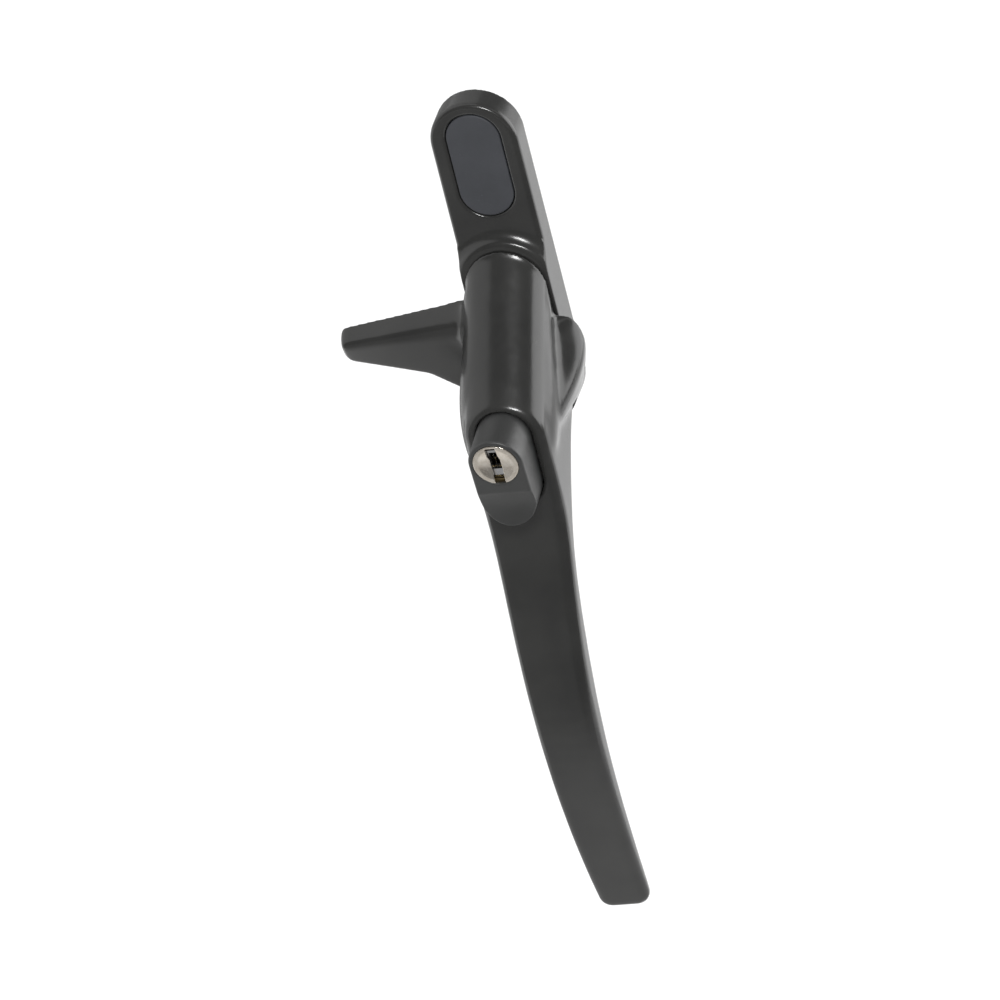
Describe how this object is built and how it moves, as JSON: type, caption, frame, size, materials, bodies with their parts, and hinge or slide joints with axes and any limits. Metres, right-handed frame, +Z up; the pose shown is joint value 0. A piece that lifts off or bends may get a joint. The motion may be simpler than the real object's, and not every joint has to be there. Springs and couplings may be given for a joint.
{
  "type": "cockspur window handle",
  "caption": "Left-hand cockspur window handle: narrow base plate with screw cover, turning lever with a locking nose, and a key-operated push button.",
  "frame": {"origin": "on the wall face of the base plate, on the lever's pivot axis, midway between the two fixing holes", "axes": "+Z up along the base plate, +Y into the frame the handle is fixed to, +X to the right seen from the room"},
  "size_m": [0.0557, 0.0461, 0.1937],
  "materials": {
    "coated_zinc": "satin dark charcoal powder coat on a zinc casting",
    "button_zinc": "matt dark charcoal powder coat",
    "cover_plastic": "matt moulded plastic, slightly bluer and lighter than the casting",
    "nylon": "natural nylon",
    "steel": "bright turned steel",
    "spring_steel": "plain spring steel",
    "brass": "plain machined brass",
    "nickel": "satin nickel plate"
  },
  "bodies": {
    "root": {"base_plate": "coated_zinc", "screw_cover": "cover_plastic", "pivot_bush": "nylon", "spring_washer": "spring_steel"},
    "lever": {"lever": "coated_zinc", "pivot_spindle": "steel", "retaining_clip": "spring_steel", "thrust_washer": "steel", "button_stop_pin": "steel", "button_spring": "spring_steel"},
    "lock_button": {"lock_button": "button_zinc", "lock_sleeve": "brass", "locking_pin": "steel"},
    "key_plug": {"key_plug": "nickel", "wafers": "steel", "wafer_springs": "spring_steel", "plug_cam": "steel", "plug_clip": "spring_steel"}
  },
  "joints": [
    {"name": "lever_turn", "type": "hinge", "parent": "root", "child": "lever", "pos_m": [0, 0, 0], "axis": [0, -1, 0], "range_deg": [0, 90]},
    {"name": "button_push", "type": "slide", "parent": "lever", "child": "lock_button", "axis": [0, 0.9945, 0.1045], "range_m": [0, 0.0035], "stiffness_N_per_m": 700, "springref_m": -0.002, "deforming": ["button_spring"]},
    {"name": "key_turn", "type": "hinge", "parent": "lock_button", "child": "key_plug", "pos_m": [0, -0.0455, -0.024], "axis": [0, 0.9945, 0.1045], "range_deg": [0, 90]}
  ]
}
